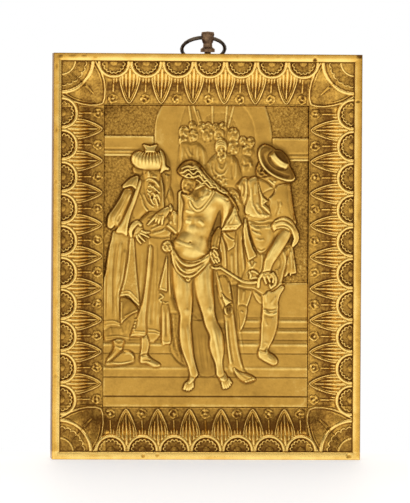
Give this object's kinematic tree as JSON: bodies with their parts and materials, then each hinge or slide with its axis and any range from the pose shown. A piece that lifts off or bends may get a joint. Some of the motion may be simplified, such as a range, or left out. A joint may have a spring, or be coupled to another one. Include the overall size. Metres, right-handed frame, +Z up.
{
  "type": "wall relief",
  "caption": "Framed rectangular wall plaque with a figure scene in relief, a leaf moulding round it and a ring that swings in a turned post at the top.",
  "frame": {"origin": "on the flat back lip that lies against the wall, at the middle of the top edge", "axes": "+Z up, -Y out of the wall towards the viewer, +Y into the wall, +X to the viewer's right"},
  "size_m": [0.15, 0.0253, 0.208],
  "materials": {
    "gilt_frame": "worn satin gilding, dark in the recesses",
    "gilt_panel": "matt stippled gilding, polished on the figures",
    "dark_post": "worn brown patina",
    "dark_ring": "dark brown patina"
  },
  "bodies": {
    "plaque": {"frame": "gilt_frame", "relief_panel": "gilt_panel", "hanger_post": "dark_post"},
    "ring": {"hanger_ring": "dark_ring"}
  },
  "joints": [
    {"name": "ring_swing", "type": "hinge", "parent": "plaque", "child": "ring", "pos_m": [0, -0.0134, 0.0117], "axis": [1, 0, 0], "range_deg": [0, 254]}
  ]
}
